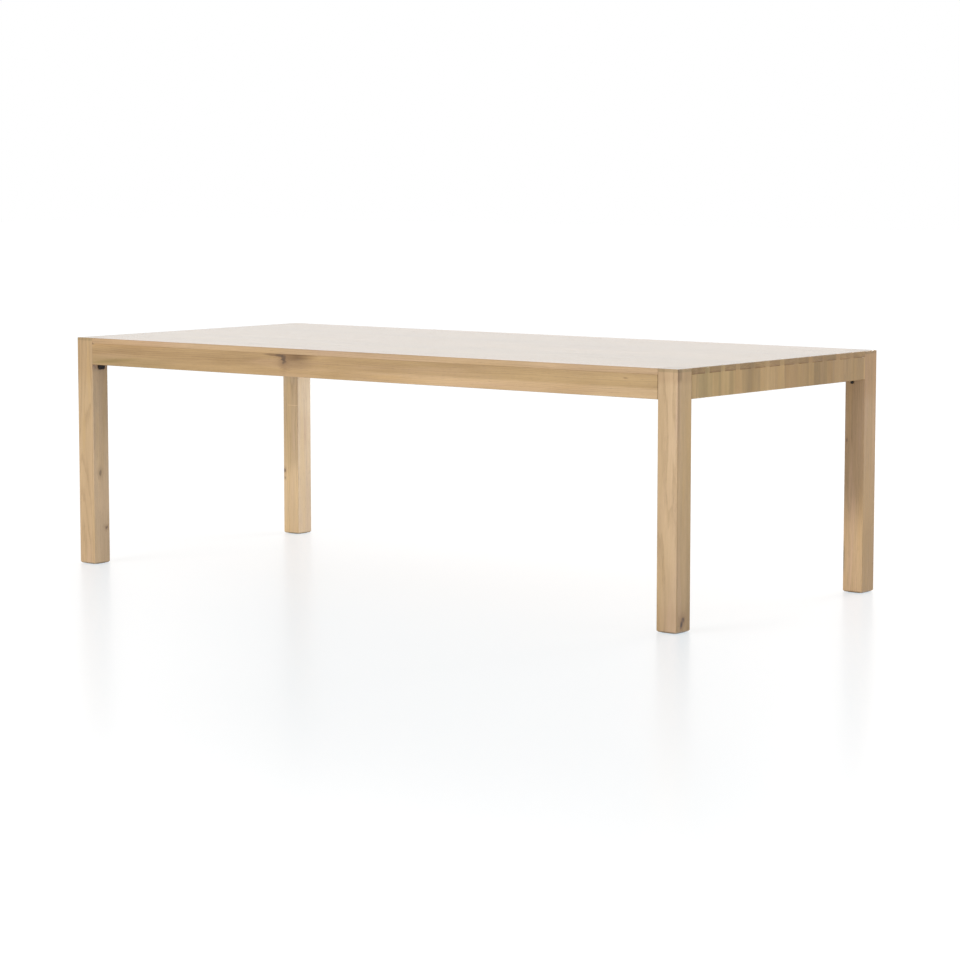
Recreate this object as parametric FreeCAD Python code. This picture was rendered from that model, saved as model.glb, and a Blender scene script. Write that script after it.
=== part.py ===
import FreeCAD, Part
import os
from math import cos, pi, sin

V = FreeCAD.Vector
X_AXIS = V(1, 0, 0)
Y_AXIS = V(0, 1, 0)
Z_AXIS = V(0, 0, 1)
ORIGIN = V(0, 0, 0)

# A solid oak parsons dining table, in millimetres. X runs along the table, Y across it and Z up.
# The origin is on the floor under the middle of the top. Front is -Y and right is +X.

# Overall size
table_length = 2438.0
table_width = 1092.0
table_height = 762.0

# Legs, which run from the floor to the surface of the top
leg_side = 70.0
leg_edge_radius = 2.0
leg_top_radius_share = 0.5
foot_chamfer = 4.0
foot_corner_radius_share = 0.5

# Felt pads under the feet
pad_side = 54.0
pad_thickness = 1.5
pad_corner = 8.0

# Plank top: staves run along the table, and each one ends in a dovetail
top_thickness = 18.0
arris = 1.5

# Long aprons
apron_height = 71.0
apron_thickness = 25.0
seam_ease = 0.8

# End aprons: upright boards, each with one or two dovetail pins, from front to back at the right end.
# Two boards meet between two pins, at a share of the gap between the pins' roots.
pins_per_board = (1, 1, 2, 2, 1, 1, 1, 1, 1)
board_joint_shares = (0.2, 1.0, 0.5, 0.0, 0.5, 0.12, 0.7, 0.42)
end_board_thickness = 20.0
pin_width = 23.0
pin_slope_share = 1 / 6

# Backing rail behind each end apron
rail_thickness = 18.0
rail_height = 58.0

# Tenons on the long aprons and backing rails
tenon_thickness = 10.0
tenon_height = 44.0
tenon_length = 32.0
glue_space = 2.0

# Cross bearers under the top, with slotted screws so that the top can swell and shrink
bearer_count = 3
bearer_pitch_share = 0.27
bearer_width = 60.0
bearer_height = 42.0
bearer_housing = 8.0
bearer_seat = 16.0
bearer_arris = 4.0
bearer_screw_count = 4
pocket_width = 13.0
pocket_length = 26.0
slot_play = 1.0
slot_length = 14.0

# Glue blocks in the corner of the long aprons and the top
glue_block_side = 22.0
glue_block_length = 90.0
glue_block_flat_share = 0.35

# Wide steel brackets on the legs' faces towards the table's middle, behind the long aprons
bracket_width = 28.0
bracket_thickness = 4.0
bracket_reach = 64.0
bracket_drop = 18.0
bracket_gap = 1.0
bracket_bend = 3.0
bracket_corner = 4.0
bracket_bolt_shares = (0.34, 0.72)
bracket_screw_reaches = (24.0, 50.0)

# Narrow steel braces on the legs' side faces, behind the backing rails
brace_width = 10.0
brace_thickness = 3.0
brace_reach = 52.0
brace_drop = 15.0
brace_gap = 2.0
brace_bend = 2.0
brace_corner = 2.0
brace_leg_screw_shares = (0.2, 0.53)
brace_top_screw_reaches = (20.0, 40.0)

# Fasteners, with shanks and holes drawn as regular prisms
shank_sides = 8
bolt_head_sides = 6
bolt_across_flats = 13.0
bolt_head_height = 5.5
bolt_diameter = 8.0
bolt_length = 34.0
screw_head_diameter = 9.0
screw_head_height = 3.0
screw_diameter = 5.0
long_screw_length = 28.0
short_screw_length = 16.0

# Fits
joint_clearance = 0.1
hole_clearance = 0.15
cut_overrun = 2.0

# Planes that the pieces share
half_length = table_length / 2
half_width = table_width / 2
top_underside = table_height - top_thickness
apron_bottom = top_underside - apron_height
rail_bottom = top_underside - rail_height
leg_inner_x = half_length - leg_side
leg_inner_y = half_width - leg_side
apron_inner_y = half_width - apron_thickness
board_inner_x = half_length - end_board_thickness
rail_inner_x = board_inner_x - rail_thickness

# The staves between the legs share the clear width, and a pin rises at every joint between two of them
stave_count = sum(pins_per_board) + 1
stave_width = 2 * leg_inner_y / stave_count

# The bearers share the clear length between the legs
bearer_pitch = 2 * leg_inner_x * bearer_pitch_share

# The back right leg's axis, on the floor
leg_middle = V(leg_inner_x + leg_side / 2, leg_inner_y + leg_side / 2, 0)

CORNERS = {
    "front_left": (-1, -1),
    "front_right": (1, -1),
    "back_left": (-1, 1),
    "back_right": (1, 1),
}


def block(x, y, z):
    """A block that fills three (low, high) spans."""
    return Part.makeBox(x[1] - x[0], y[1] - y[0], z[1] - z[0], V(x[0], y[0], z[0]))


def centred(middle, size):
    """The span of a size about its middle."""
    return middle - size / 2, middle + size / 2


def grown(limits, by):
    """A span made longer at both ends."""
    return limits[0] - by, limits[1] + by


def prism(outline, along):
    """A closed outline of points, swept along a vector."""
    return Part.Face(Part.makePolygon(outline + outline[:1])).extrude(along)


def at_corner(shape, corner):
    """A shape made for the back right corner, mirrored to another corner."""
    side_x, side_y = CORNERS[corner]
    if side_x < 0:
        shape = shape.mirror(ORIGIN, X_AXIS)
    if side_y < 0:
        shape = shape.mirror(ORIGIN, Y_AXIS)
    return shape


def rounded_square(side, radius, z):
    """A square section with round corners, about the Z axis."""
    flat = side / 2 - radius
    edges = []
    for turn in range(4):
        corner = [V(flat + radius * cos(a), flat + radius * sin(a), z) for a in (0, pi / 4, pi / 2)]
        start = V(side / 2, -flat, z)
        pieces = [Part.LineSegment(start, corner[0]).toShape(), Part.Arc(*corner).toShape()]
        edges += [piece.rotate(ORIGIN, Z_AXIS, turn * 90) for piece in pieces]
    return Part.Wire(Part.__sortEdges__(edges))


def regular_prism(across_flats, sides, low, high):
    """A regular prism about the Z axis, with flats towards X and Y where it has eight sides."""
    radius = across_flats / 2 / cos(pi / sides)
    angles = [(k + 1 / 2) * 2 * pi / sides for k in range(sides)]
    outline = [V(radius * cos(a), radius * sin(a), low) for a in angles]
    return prism(outline, V(0, 0, high - low))


def slot_prism(width, length, low, high):
    """A slot along Y about the Z axis, with ends like half of a fastener's prism."""
    radius = width / 2 / cos(pi / shank_sides)
    flat = (length - width) / 2
    outline = []
    for k in range(shank_sides):
        a = (k + 1 / 2) * 2 * pi / shank_sides
        end = flat if sin(a) > 0 else -flat
        outline.append(V(radius * cos(a), end + radius * sin(a), low))
    return prism(outline, V(0, 0, high - low))


def aimed(shape, seat, aim):
    """A shape that points up from the origin, turned to point along an axis from its seat."""
    turned = shape.copy()
    turned.Placement = FreeCAD.Placement(seat, FreeCAD.Rotation(Z_AXIS, aim))
    return turned


def screw(length):
    """A screw that points up, with the underside of its head at the origin."""
    head = regular_prism(screw_head_diameter, shank_sides, -screw_head_height, 0)
    return head.fuse(regular_prism(screw_diameter, shank_sides, 0, length)).removeSplitter()


def hex_bolt():
    """A hexagon bolt that points up, with the underside of its head at the origin."""
    head = regular_prism(bolt_across_flats, bolt_head_sides, -bolt_head_height, 0)
    return head.fuse(regular_prism(bolt_diameter, shank_sides, 0, bolt_length)).removeSplitter()


def hole(diameter, length):
    """The cutter of the hole for a fastener that points up from the origin."""
    return regular_prism(diameter + 2 * hole_clearance, shank_sides, -cut_overrun, length + hole_clearance)


def tenon(middle, z_middle, face, along_x, clearance):
    """A tenon that goes past a leg's inner face, or its mortise where a clearance is given."""
    across = grown(centred(middle, tenon_thickness), clearance)
    upright = grown(centred(z_middle, tenon_height), clearance)
    depth = tenon_length + (glue_space if clearance else 0)
    into = (face - (cut_overrun if clearance else 0), face + depth)
    return block(into, across, upright) if along_x else block(across, into, upright)


def apron_tenon(clearance):
    """The tenon of a long apron in the back right leg."""
    middle = half_width - apron_thickness / 2
    return tenon(middle, apron_bottom + apron_height / 2, leg_inner_x, True, clearance)


def rail_tenon(clearance):
    """The tenon of the right backing rail in the back right leg."""
    middle = board_inner_x - rail_thickness / 2
    return tenon(middle, rail_bottom + rail_height / 2, leg_inner_y, False, clearance)


def pin(y, clearance=0):
    """A dovetail pin at the right end, or the socket for it in the staves where a clearance is given."""
    overrun = cut_overrun if clearance else 0
    inner = board_inner_x - clearance
    outer = half_length + overrun
    outer_half = pin_width / 2 + clearance - overrun * pin_slope_share
    inner_half = pin_width / 2 + clearance + (half_length - inner) * pin_slope_share
    low = top_underside - seam_ease - overrun
    outline = [
        V(outer, y - outer_half, low),
        V(outer, y + outer_half, low),
        V(inner, y + inner_half, low),
        V(inner, y - inner_half, low),
    ]
    return prism(outline, V(0, 0, table_height + overrun - low))


def top_envelope():
    """The whole table's block with the edges of its surface eased."""
    body = block((-half_length, half_length), (-half_width, half_width), (0, table_height))
    upper = [edge for edge in body.Edges if edge.BoundBox.ZMin > top_underside]
    return body.makeChamfer(arris, upper)


ENVELOPE = top_envelope()


def apron_profile(outer, inner, across):
    """The section of an apron in a vertical plane, eased at the top and foot of its outer face."""
    points = [
        (inner, apron_bottom),
        (outer - arris, apron_bottom),
        (outer, apron_bottom + arris),
        (outer, top_underside - seam_ease),
        (outer - seam_ease, top_underside),
        (inner, top_underside),
    ]
    return [across * u + V(0, 0, z) for u, z in points]


# Fastener seats for the back right corner, as (seat, aim)
bracket_y = apron_inner_y - bracket_gap - bracket_width / 2
bracket_leg_length = apron_height + bracket_drop
brace_x = rail_inner_x - brace_gap - brace_width / 2
brace_leg_length = apron_height + brace_drop
bracket_bolt_seats = [
    (V(leg_inner_x - bracket_thickness, bracket_y, top_underside - share * bracket_leg_length), X_AXIS)
    for share in bracket_bolt_shares
]
bracket_screw_seats = [
    (V(leg_inner_x - reach, bracket_y, top_underside - bracket_thickness), Z_AXIS)
    for reach in bracket_screw_reaches
]
brace_leg_seats = [
    (V(brace_x, leg_inner_y - brace_thickness, top_underside - share * brace_leg_length), Y_AXIS)
    for share in brace_leg_screw_shares
]
brace_top_seats = [
    (V(brace_x, leg_inner_y - reach, top_underside - brace_thickness), Z_AXIS)
    for reach in brace_top_screw_reaches
]


def holes(seats, diameter, length):
    """The hole cutters of several fasteners."""
    return [aimed(hole(diameter, length), seat, aim) for seat, aim in seats]


def legs():
    """Four legs with mortises, and holes for the bolts and the brace screws."""
    foot_radius = leg_edge_radius * foot_corner_radius_share
    sections = [
        rounded_square(leg_side - 2 * foot_chamfer, foot_radius, pad_thickness),
        rounded_square(leg_side, leg_edge_radius, pad_thickness + foot_chamfer),
        rounded_square(leg_side, leg_edge_radius, table_height - arris),
        rounded_square(leg_side - 2 * arris, leg_edge_radius * leg_top_radius_share, table_height),
    ]
    leg = Part.makeLoft(sections, True, True)
    leg.translate(leg_middle)
    cutters = [apron_tenon(joint_clearance), rail_tenon(joint_clearance)]
    cutters += holes(bracket_bolt_seats, bolt_diameter, bolt_length)
    cutters += holes(brace_leg_seats, screw_diameter, long_screw_length)
    leg = leg.cut(cutters)
    return {"leg_" + corner: at_corner(leg, corner) for corner in CORNERS}


def foot_pads():
    """Four square pads with clipped corners, which the table stands on."""
    pad = block(centred(0, pad_side), centred(0, pad_side), (0, pad_thickness))
    upright = [edge for edge in pad.Edges if edge.BoundBox.ZLength > pad_thickness / 2]
    pad = pad.makeChamfer(pad_corner, upright)
    pad.translate(leg_middle)
    return {"foot_pad_" + corner: at_corner(pad, corner) for corner in CORNERS}


def long_aprons():
    """Front and back aprons with a tenon at each end and housings for the bearers."""
    outline = [V(-leg_inner_x, 0, 0) + p for p in apron_profile(half_width, apron_inner_y, Y_AXIS)]
    apron = prism(outline, V(2 * leg_inner_x, 0, 0))
    right_tenon = apron_tenon(0)
    apron = apron.fuse([right_tenon, right_tenon.mirror(ORIGIN, X_AXIS)]).removeSplitter()
    apron = apron.cut([bearer_block(x, joint_clearance) for x in bearer_places()])
    return {"apron_back": apron, "apron_front": apron.mirror(ORIGIN, Y_AXIS)}


def stave_joint(k):
    """The place across the table of the joint after the first k staves."""
    return k * stave_width - leg_inner_y


def plank_top():
    """Twelve dovetailed staves between the legs, and one square-ended stave at each long edge."""
    upright = (top_underside, table_height)
    sockets = {}
    for k in range(1, stave_count):
        right = pin(stave_joint(k), joint_clearance)
        sockets[k] = [right, right.mirror(ORIGIN, X_AXIS)]
    staves = {}
    for k in range(stave_count):
        stave = block((-half_length, half_length), (stave_joint(k), stave_joint(k + 1)), upright)
        stave = stave.cut(sockets.get(k, []) + sockets.get(k + 1, []))
        staves["top_stave_%02d" % (k + 1)] = stave.common(ENVELOPE)
    back = block((-leg_inner_x, leg_inner_x), (leg_inner_y, half_width), upright).common(ENVELOPE)
    staves["top_edge_stave_back"] = back
    staves["top_edge_stave_front"] = back.mirror(ORIGIN, Y_AXIS)
    return staves


def end_board_spans():
    """The limits of each upright board of the right end, and the joints that its pins rise at."""
    root = pin_width / 2 + end_board_thickness * pin_slope_share + joint_clearance
    limits = [-leg_inner_y]
    joint = 0
    for count, share in zip(pins_per_board, board_joint_shares):
        joint += count
        limits.append(stave_joint(joint) + root + share * (stave_width - 2 * root))
    limits.append(leg_inner_y)
    spans = []
    joint = 0
    for low, high, count in zip(limits, limits[1:], pins_per_board):
        spans.append((low, high, range(joint + 1, joint + 1 + count)))
        joint += count
    return spans


def rail_screw_seats():
    """One screw through the right backing rail into the middle of each upright board."""
    z = rail_bottom + rail_height / 2
    return [(V(rail_inner_x, (low + high) / 2, z), X_AXIS) for low, high, joints in end_board_spans()]


def end_aprons():
    """Upright boards with dovetail pins at both ends, the left end turned half round from the right."""
    boards = {}
    drilled = holes(rail_screw_seats(), screw_diameter, long_screw_length)
    section = apron_profile(half_length, board_inner_x, X_AXIS)
    for number, (low, high, joints) in enumerate(end_board_spans(), start=1):
        board = prism([p + V(0, low, 0) for p in section], V(0, high - low, 0))
        board = board.fuse([pin(stave_joint(k)) for k in joints]).removeSplitter()
        board = board.cut(drilled[number - 1]).common(ENVELOPE)
        boards["end_board_right_%d" % number] = board
        turned = board.copy()
        turned.rotate(ORIGIN, Z_AXIS, 180)
        boards["end_board_left_%d" % number] = turned
    return boards


def backing_rails():
    """A rail behind each end apron, tenoned into the legs, with slots for its screws."""
    rail = block((rail_inner_x, board_inner_x), (-leg_inner_y, leg_inner_y), (rail_bottom, top_underside))
    back_tenon = rail_tenon(0)
    rail = rail.fuse([back_tenon, back_tenon.mirror(ORIGIN, Y_AXIS)]).removeSplitter()
    slot = slot_prism(screw_diameter + slot_play, slot_length, -cut_overrun, rail_thickness + cut_overrun)
    rail = rail.cut([aimed(slot, seat, aim) for seat, aim in rail_screw_seats()])
    left = rail.copy()
    left.rotate(ORIGIN, Z_AXIS, 180)
    return {"end_rail_right": rail, "end_rail_left": left}


def bearer_places():
    """The places of the cross bearers along the table."""
    return [(k - (bearer_count - 1) / 2) * bearer_pitch for k in range(bearer_count)]


def bearer_block(x, clearance):
    """A bearer's plain block, or the housing for it in the aprons where a clearance is given."""
    across = grown(centred(0, 2 * (apron_inner_y + bearer_housing)), clearance)
    upright = (top_underside - bearer_height - clearance, top_underside + (cut_overrun if clearance else 0))
    return block(grown(centred(x, bearer_width), clearance), across, upright)


def bearer_screw_seats(x):
    """The screws of one bearer, each under the middle of a stave."""
    z = top_underside - bearer_seat
    screwed = [int((k + 1 / 2) * stave_count / bearer_screw_count) for k in range(bearer_screw_count)]
    middles = [(stave_joint(k) + stave_joint(k + 1)) / 2 for k in screwed]
    return [(V(x, y, z), Z_AXIS) for y in middles]


def bearers():
    """Cross bearers with eased lower edges, screw pockets from below and slots."""
    pocket = slot_prism(pocket_width, pocket_length, -bearer_height, 0)
    slot = slot_prism(screw_diameter + slot_play, slot_length, -cut_overrun, bearer_seat + cut_overrun)
    made = {}
    for number, x in enumerate(bearer_places(), start=1):
        bearer = bearer_block(x, 0)
        low = bearer.BoundBox.ZMin
        long_edges = [e for e in bearer.Edges if e.BoundBox.ZMax < low + arris and e.Length > bearer_width]
        bearer = bearer.makeChamfer(bearer_arris, long_edges)
        seats = [seat for seat, aim in bearer_screw_seats(x)]
        cutters = [cutter.translated(seat) for seat in seats for cutter in (pocket, slot)]
        made["cross_bearer_%d" % number] = bearer.cut(cutters)
    return made


def glue_blocks():
    """Blocks with a bevelled inner edge, glued in the corner of each long apron and the top."""
    flat = glue_block_side * glue_block_flat_share
    corner = [
        (0, 0),
        (glue_block_side, 0),
        (glue_block_side, flat),
        (flat, glue_block_side),
        (0, glue_block_side),
    ]
    outline = [V(0, apron_inner_y - inward, top_underside - down) for inward, down in corner]
    one = prism(outline, V(glue_block_length, 0, 0))
    middles = [(k - bearer_count / 2) * bearer_pitch for k in range(bearer_count + 1)]
    back = [one.translated(V(middle - glue_block_length / 2, 0, 0)) for middle in middles]
    front = [piece.mirror(ORIGIN, Y_AXIS) for piece in back]
    return {"glue_blocks": Part.makeCompound(back + front)}


def angle(width, thickness, reach, length, bend, corner):
    """A bent steel angle with clipped ends: one flange down the leg, and one that reaches under the top."""
    outer = bend + thickness
    middle = V(-outer, 0, -outer)
    slant = V(cos(pi / 4), 0, sin(pi / 4))
    foot_outer = V(0, 0, -length)
    outer_low = V(0, 0, -outer)
    outer_high = V(-outer, 0, 0)
    tip = V(-reach, 0, 0)
    tip_under = V(-reach, 0, -thickness)
    inner_high = V(-outer, 0, -thickness)
    inner_low = V(-thickness, 0, -outer)
    foot_inner = V(-thickness, 0, -length)
    edges = [
        Part.LineSegment(foot_outer, outer_low).toShape(),
        Part.Arc(outer_low, middle + slant * outer, outer_high).toShape(),
        Part.LineSegment(outer_high, tip).toShape(),
        Part.LineSegment(tip, tip_under).toShape(),
        Part.LineSegment(tip_under, inner_high).toShape(),
        Part.Arc(inner_high, middle + slant * bend, inner_low).toShape(),
        Part.LineSegment(inner_low, foot_inner).toShape(),
        Part.LineSegment(foot_inner, foot_outer).toShape(),
    ]
    bent = Part.Face(Part.Wire(edges)).extrude(V(0, width, 0))
    bent.translate(V(0, -width / 2, 0))
    tip_middles = (V(-thickness / 2, 0, -length), V(-reach, 0, -thickness / 2))
    side = V(0, width / 2, 0)
    corners = [tip + way * side for tip in tip_middles for way in (-1, 1)]
    tips = [
        edge for edge in bent.Edges
        if any(edge.CenterOfMass.isEqual(place, joint_clearance) for place in corners)
    ]
    return bent.makeChamfer(corner, tips)


def brackets_and_braces():
    """Wide brackets on the legs' faces towards the middle, and narrow braces on their side faces."""
    bracket = angle(
        bracket_width, bracket_thickness, bracket_reach, bracket_leg_length, bracket_bend, bracket_corner
    )
    bracket.translate(V(leg_inner_x, bracket_y, top_underside))
    bracket = bracket.cut(
        holes(bracket_bolt_seats, bolt_diameter, bolt_length)
        + holes(bracket_screw_seats, screw_diameter, short_screw_length)
    )
    brace = angle(
        brace_width, brace_thickness, brace_reach, brace_leg_length, brace_bend, brace_corner
    )
    brace.rotate(ORIGIN, Z_AXIS, 90)
    brace.translate(V(brace_x, leg_inner_y, top_underside))
    brace = brace.cut(
        holes(brace_leg_seats, screw_diameter, long_screw_length)
        + holes(brace_top_seats, screw_diameter, short_screw_length)
    )
    made = {"leg_bracket_" + corner: at_corner(bracket, corner) for corner in CORNERS}
    made["corner_braces"] = Part.makeCompound([at_corner(brace, corner) for corner in CORNERS])
    return made


def at_all_corners(fastener, seats):
    """A fastener at each of a corner's seats, at all four corners."""
    return [at_corner(aimed(fastener, seat, aim), corner) for corner in CORNERS for seat, aim in seats]


def fasteners():
    """Bolts and screws, one group of each kind."""
    long_screw = screw(long_screw_length)
    short_screw = screw(short_screw_length)
    bearer_screws = [
        aimed(long_screw, seat, aim) for x in bearer_places() for seat, aim in bearer_screw_seats(x)
    ]
    right = [aimed(long_screw, seat, aim) for seat, aim in rail_screw_seats()]
    left = [piece.copy() for piece in right]
    for piece in left:
        piece.rotate(ORIGIN, Z_AXIS, 180)
    groups = {
        "leg_bolts": at_all_corners(hex_bolt(), bracket_bolt_seats),
        "bracket_screws": at_all_corners(short_screw, bracket_screw_seats + brace_top_seats),
        "brace_screws": at_all_corners(long_screw, brace_leg_seats),
        "bearer_screws": bearer_screws,
        "rail_screws": right + left,
    }
    return {name: Part.makeCompound(pieces) for name, pieces in groups.items()}


def drill_top(staves):
    """Pilot holes in the underside of the staves for every screw that comes up from below."""
    short = holes(bracket_screw_seats + brace_top_seats, screw_diameter, short_screw_length)
    cutters = [at_corner(cutter, corner) for corner in CORNERS for cutter in short]
    for x in bearer_places():
        cutters += holes(bearer_screw_seats(x), screw_diameter, long_screw_length)
    drilled = {}
    for name, stave in staves.items():
        hits = [cutter for cutter in cutters if cutter.BoundBox.intersect(stave.BoundBox)]
        drilled[name] = stave.cut(hits) if hits else stave
    return drilled


parts = {}
parts.update(legs())
parts.update(foot_pads())
parts.update(long_aprons())
parts.update(drill_top(plank_top()))
parts.update(end_aprons())
parts.update(backing_rails())
parts.update(bearers())
parts.update(glue_blocks())
parts.update(brackets_and_braces())
parts.update(fasteners())

os.makedirs("parts", exist_ok=True)
for name, shape in parts.items():
    shape.exportStep("parts/%s.step" % name)
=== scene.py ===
import math
import random

import bmesh
import bpy
from mathutils import Matrix, Vector


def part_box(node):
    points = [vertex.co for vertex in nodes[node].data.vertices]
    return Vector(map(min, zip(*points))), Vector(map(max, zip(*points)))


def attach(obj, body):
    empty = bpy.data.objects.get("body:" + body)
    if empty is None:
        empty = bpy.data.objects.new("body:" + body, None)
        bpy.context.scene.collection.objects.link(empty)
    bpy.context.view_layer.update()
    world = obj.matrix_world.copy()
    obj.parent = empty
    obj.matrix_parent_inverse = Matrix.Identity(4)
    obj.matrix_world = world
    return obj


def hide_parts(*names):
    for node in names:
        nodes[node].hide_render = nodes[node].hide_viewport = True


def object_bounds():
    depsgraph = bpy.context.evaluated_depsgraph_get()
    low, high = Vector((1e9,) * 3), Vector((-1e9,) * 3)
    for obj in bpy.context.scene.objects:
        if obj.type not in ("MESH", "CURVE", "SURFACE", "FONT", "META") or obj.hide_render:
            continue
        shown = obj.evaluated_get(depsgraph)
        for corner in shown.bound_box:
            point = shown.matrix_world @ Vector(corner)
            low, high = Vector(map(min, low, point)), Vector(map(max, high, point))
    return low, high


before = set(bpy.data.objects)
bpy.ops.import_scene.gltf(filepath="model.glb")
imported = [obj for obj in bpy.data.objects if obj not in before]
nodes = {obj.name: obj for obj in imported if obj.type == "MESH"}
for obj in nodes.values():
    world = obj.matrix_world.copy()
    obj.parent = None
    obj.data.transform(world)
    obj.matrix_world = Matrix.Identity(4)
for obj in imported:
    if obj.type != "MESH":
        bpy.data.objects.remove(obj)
cad_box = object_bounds()

# Counts and faces of the table, from the frame
STAVES = sum(name.startswith("top_stave_") for name in nodes)
BEARERS = sum(name.startswith("cross_bearer_") for name in nodes)
cad_low, cad_high = cad_box
LEFT = cad_low[0]
RIGHT = cad_high[0]
FRONT = cad_low[1]
SURFACE = cad_high[2]
LEFT_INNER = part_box("leg_back_left")[1].x
RIGHT_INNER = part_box("leg_back_right")[0].x
BACK_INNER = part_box("leg_back_left")[0].y
STAVE_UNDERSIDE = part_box("top_stave_01")[0].z

# For the axis that the grain follows: the axes along, across and through the grain
AXES = {"X": (0, 1, 2), "Y": (1, 0, 2), "Z": (2, 0, 1)}

# The Mix node's colour sockets, which share their names with its other sockets
MIX_COLOURS = (6, 7)
MIX_RESULT = 2

NOISE_MIDDLE = 0.5


class Graph:
    """The nodes of a material or a world. Most methods take sockets or plain values and give a socket."""

    def __init__(self, owner):
        self.owner = owner
        self.owner.use_nodes = True
        self.tree = owner.node_tree
        self.tree.nodes.clear()

    def put(self, socket, value):
        if isinstance(value, bpy.types.NodeSocket):
            self.tree.links.new(value, socket)
        else:
            socket.default_value = value

    def node(self, kind, *values, **settings):
        made = self.tree.nodes.new("ShaderNode" + kind)
        for name, value in settings.items():
            setattr(made, name, value)
        for socket, value in zip(made.inputs, values):
            self.put(socket, value)
        return made

    def math(self, operation, *values):
        return self.node("Math", *values, operation=operation).outputs[0]

    def vector(self, operation, *values):
        made = self.node("VectorMath", *values, operation=operation)
        return made.outputs["Value" if operation == "LENGTH" else "Vector"]

    def total(self, *values):
        result = values[0]
        for value in values[1:]:
            result = self.math("ADD", result, value)
        return result

    def times(self, *values):
        result = values[0]
        for value in values[1:]:
            result = self.math("MULTIPLY", result, value)
        return result

    def texture(self, place, cells, detail=2.0, roughness=0.5):
        """The value and the colour of noise with this many cells to the metre on each axis."""
        made = self.node("TexNoise")
        self.put(made.inputs["Vector"], self.vector("MULTIPLY", place, cells))
        made.inputs["Scale"].default_value = 1.0
        made.inputs["Detail"].default_value = detail
        made.inputs["Roughness"].default_value = roughness
        return made.outputs

    def noise(self, place, cells, detail=2.0, roughness=0.5):
        """Noise about 0, from -0.5 to 0.5."""
        return self.math("SUBTRACT", self.texture(place, cells, detail, roughness)[0], NOISE_MIDDLE)

    def drift(self, place, cells, reach):
        """A place moved about by noise, by a reach for each axis."""
        moved = self.vector("SUBTRACT", self.texture(place, cells)[1], (NOISE_MIDDLE,) * 3)
        return self.vector("ADD", place, self.vector("MULTIPLY", moved, reach))

    def rise(self, value, low, high, start=0.0, end=1.0):
        """A smooth step from start to end as the value goes from low to high."""
        made = self.node("MapRange", value, low, high, start, end, interpolation_type="SMOOTHSTEP")
        return made.outputs[0]

    def window(self, value, low, high, soft):
        """1 between two limits, with soft ends."""
        inside = self.rise(value, low - soft, low + soft)
        return self.math("MULTIPLY", inside, self.rise(value, high - soft, high + soft, 1.0, 0.0))

    def mix(self, share, first, second, blend="MIX"):
        made = self.tree.nodes.new("ShaderNodeMix")
        made.data_type = "RGBA"
        made.blend_type = blend
        self.put(made.inputs["Factor"], share)
        for index, value in zip(MIX_COLOURS, (first, second)):
            plain = not isinstance(value, bpy.types.NodeSocket)
            self.put(made.inputs[index], (*value, 1.0) if plain else value)
        return made.outputs[MIX_RESULT]

    def surface(self, colour, roughness, height, relief, **plain):
        """A Principled surface. Values that are the same all over are set on its own sockets."""
        shader = self.tree.nodes.new("ShaderNodeBsdfPrincipled")
        self.put(shader.inputs["Base Color"], colour)
        self.put(shader.inputs["Roughness"], roughness)
        for name, value in plain.items():
            shader.inputs[name.replace("_", " ")].default_value = value
        bump = self.tree.nodes.new("ShaderNodeBump")
        bump.inputs["Strength"].default_value = 1.0
        bump.inputs["Distance"].default_value = relief
        self.put(bump.inputs["Height"], height)
        self.put(shader.inputs["Normal"], bump.outputs[0])
        out = self.tree.nodes.new("ShaderNodeOutputMaterial")
        self.tree.links.new(shader.outputs[0], out.inputs["Surface"])
        return self.owner


# Oak colours, linear
PALE = (0.552, 0.372, 0.172)
DEEP = (0.265, 0.157, 0.060)
GOLD = (0.480, 0.306, 0.112)
PINK = (0.508, 0.334, 0.182)
PORE = (0.150, 0.082, 0.032)
KNOT = (0.060, 0.033, 0.018)
HALO = (0.229, 0.122, 0.049)
END = (0.58, 0.52, 0.29)

# Cells to the metre of the wood's noises, along, across and through the grain
BEND_CELLS = (9, 70, 70)
WANDER_CELLS = (1.1, 6, 6)
WAVER_CELLS = (5, 40, 40)
RAGGED_CELLS = (60, 160, 160)
CLOUD_CELLS = (2.6, 20, 20)
HUE_CELLS = (2.2, 22, 22)
FIBRE_CELLS = (14, 620, 620)
PORE_CELLS = (45, 1500, 1500)
MOTTLE_CELLS = (9, 48, 130)

# Cells to the metre of the noises that follow the rings, with the distance from the pith first
SPACING_CELLS = (60, 1, 1)
STRIPE_CELLS = (42, 42, 1)

# How far the noises bend the grain, and how far they and the knots move the rings
BEND_REACH = (0.030, 0.007, 0.007)
WANDER_REACH = 0.050
WAVER_REACH = 0.007
KNOT_REACH = 0.010

# Ranges of the random draws: where the noise is taken, the pith beside and off the middle, a ring's width
GRAIN_SHIFT = 50.0
PITH_ASIDE = 0.03
PITH_DEPTHS = (0.03, 0.12)
RING_WIDTHS = (0.0035, 0.0055)

# Smooth steps: knots and marks by their distance in radii, early wood by its phase in a ring, pores and
# hues by their noise, end grain and undersides by the way they face, and the width of a glue line
KNOT_CORE = (0.35, 1.05)
KNOT_HALO = (0.5, 2.6)
MARK_FADE = (0.25, 1.1)
EARLY_START = (0.0, 0.12)
EARLY_STOP = (0.12, 0.55)
PORE_STEP = (0.06, 0.20)
GOLD_STEP = (0.02, 0.20)
PINK_STEP = (-0.20, -0.03)
END_STEP = (0.55, 0.9)
UNDER_STEP = (-0.9, -0.5)
GLUE_WIDTH = 0.0009

# Shares of the noises in each other and in the colours
SPACING_RINGS = 3.0
RAGGED_SHARE = 0.9
STRIPE_SLANT = 0.02
BAND_WAVER = 1.2
PORE_EARLY = 0.75
GOLD_SHARE = 0.50
PINK_SHARE = 0.45
PORE_SHARE = 0.45
HALO_SHARE = 0.55

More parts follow.
